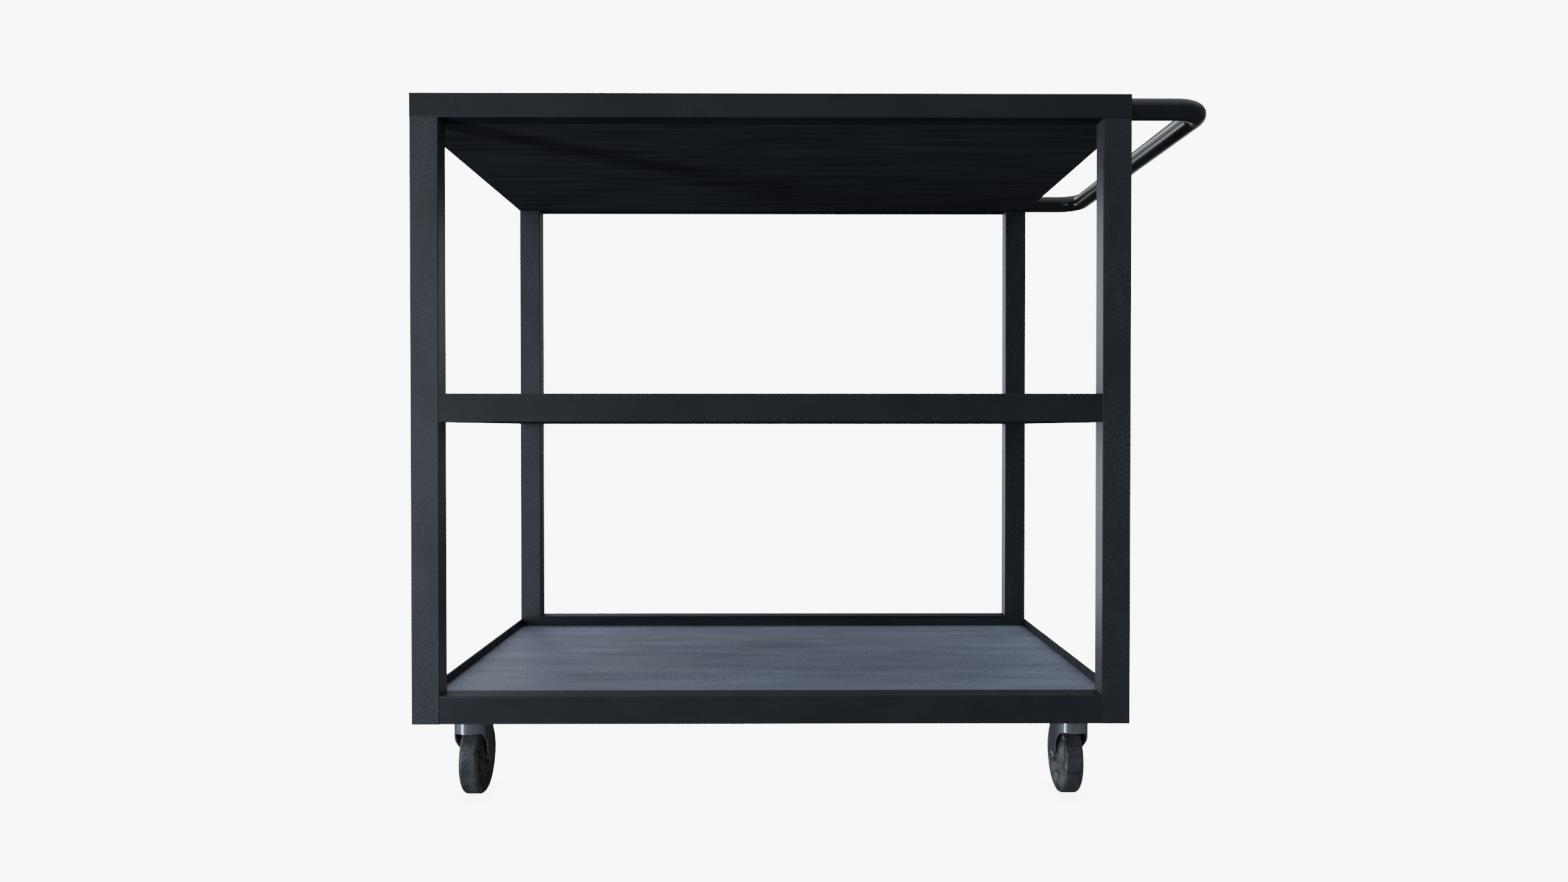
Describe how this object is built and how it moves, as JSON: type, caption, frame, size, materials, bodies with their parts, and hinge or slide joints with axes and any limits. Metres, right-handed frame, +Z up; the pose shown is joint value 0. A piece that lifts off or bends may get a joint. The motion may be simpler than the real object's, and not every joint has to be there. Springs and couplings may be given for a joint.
{
  "type": "steel shelf cart",
  "caption": "Painted steel shelf cart with solid lipped decks between two tube frames, a bent tube push handle and swivel casters.",
  "frame": {"origin": "centre of the whole cart's footprint (frame and handle), on the floor", "axes": "+X towards the push handle, +Y from the front frame to the rear frame, +Z up"},
  "size_m": [1.026, 0.61, 0.923],
  "materials": {
    "frame_paint": "satin dark blue-grey powder coat, lightly worn",
    "tray_paint": "satin near-black paint, faint streaks",
    "deck_paint": "satin grey-blue paint with wiped streaks",
    "handle_paint": "gloss black enamel",
    "plug_plastic": "matte black plastic",
    "fork_steel": "dull zinc-grey pressed steel",
    "zinc_fasteners": "zinc plated",
    "wheel_core": "dusty dark polymer",
    "tyre_rubber": "worn, dusty solid rubber"
  },
  "bodies": {
    "cart": {"front_left_post": "frame_paint", "front_right_post": "frame_paint", "rear_left_post": "frame_paint", "rear_right_post": "frame_paint", "front_top_rail": "frame_paint", "rear_top_rail": "frame_paint", "front_middle_rail": "frame_paint", "rear_middle_rail": "frame_paint", "front_bottom_rail": "frame_paint", "rear_bottom_rail": "frame_paint", "top_tray_pan": "tray_paint", "top_tray_lips": "tray_paint", "top_deck_panel": "deck_paint", "top_tray_stiffeners": "tray_paint", "middle_tray_pan": "tray_paint", "middle_tray_lips": "tray_paint", "middle_deck_panel": "deck_paint", "middle_tray_stiffeners": "tray_paint", "bottom_tray_pan": "tray_paint", "bottom_tray_lips": "tray_paint", "bottom_deck_panel": "deck_paint", "bottom_tray_stiffeners": "tray_paint", "handle": "handle_paint", "tube_end_plugs": "plug_plastic", "caster_pads": "tray_paint", "caster_plate_bolts": "zinc_fasteners", "caster_plate_nuts": "zinc_fasteners", "front_left_top_plate": "fork_steel", "front_left_kingpin": "zinc_fasteners", "front_right_top_plate": "fork_steel", "front_right_kingpin": "zinc_fasteners", "rear_left_top_plate": "fork_steel", "rear_left_kingpin": "zinc_fasteners", "rear_right_top_plate": "fork_steel", "rear_right_kingpin": "zinc_fasteners"},
    "front_left_swivel": {"front_left_fork": "fork_steel", "front_left_swivel_balls": "zinc_fasteners", "front_left_axle_rivet": "zinc_fasteners", "front_left_axle_sleeve": "zinc_fasteners"},
    "front_left_wheel": {"front_left_wheel_core": "wheel_core", "front_left_tyre": "tyre_rubber"},
    "front_right_swivel": {"front_right_fork": "fork_steel", "front_right_swivel_balls": "zinc_fasteners", "front_right_axle_rivet": "zinc_fasteners", "front_right_axle_sleeve": "zinc_fasteners"},
    "front_right_wheel": {"front_right_wheel_core": "wheel_core", "front_right_tyre": "tyre_rubber"},
    "rear_left_swivel": {"rear_left_fork": "fork_steel", "rear_left_swivel_balls": "zinc_fasteners", "rear_left_axle_rivet": "zinc_fasteners", "rear_left_axle_sleeve": "zinc_fasteners"},
    "rear_left_wheel": {"rear_left_wheel_core": "wheel_core", "rear_left_tyre": "tyre_rubber"},
    "rear_right_swivel": {"rear_right_fork": "fork_steel", "rear_right_swivel_balls": "zinc_fasteners", "rear_right_axle_rivet": "zinc_fasteners", "rear_right_axle_sleeve": "zinc_fasteners"},
    "rear_right_wheel": {"rear_right_wheel_core": "wheel_core", "rear_right_tyre": "tyre_rubber"}
  },
  "joints": [
    {"name": "front_left_swivel_turn", "type": "hinge", "parent": "cart", "child": "front_left_swivel", "pos_m": [-0.46, -0.225, 0.113], "axis": [0, 0, 1], "continuous": true},
    {"name": "front_left_wheel_turn", "type": "hinge", "parent": "front_left_swivel", "child": "front_left_wheel", "pos_m": [-0.46, -0.195, 0.05], "axis": [1, 0, 0], "continuous": true},
    {"name": "front_right_swivel_turn", "type": "hinge", "parent": "cart", "child": "front_right_swivel", "pos_m": [0.348, -0.225, 0.113], "axis": [0, 0, 1], "continuous": true},
    {"name": "front_right_wheel_turn", "type": "hinge", "parent": "front_right_swivel", "child": "front_right_wheel", "pos_m": [0.348, -0.195, 0.05], "axis": [1, 0, 0], "continuous": true},
    {"name": "rear_left_swivel_turn", "type": "hinge", "parent": "cart", "child": "rear_left_swivel", "pos_m": [-0.46, 0.225, 0.113], "axis": [0, 0, 1], "continuous": true},
    {"name": "rear_left_wheel_turn", "type": "hinge", "parent": "rear_left_swivel", "child": "rear_left_wheel", "pos_m": [-0.46, 0.255, 0.05], "axis": [1, 0, 0], "continuous": true},
    {"name": "rear_right_swivel_turn", "type": "hinge", "parent": "cart", "child": "rear_right_swivel", "pos_m": [0.348, 0.225, 0.113], "axis": [0, 0, 1], "continuous": true},
    {"name": "rear_right_wheel_turn", "type": "hinge", "parent": "rear_right_swivel", "child": "rear_right_wheel", "pos_m": [0.348, 0.255, 0.05], "axis": [1, 0, 0], "continuous": true}
  ]
}
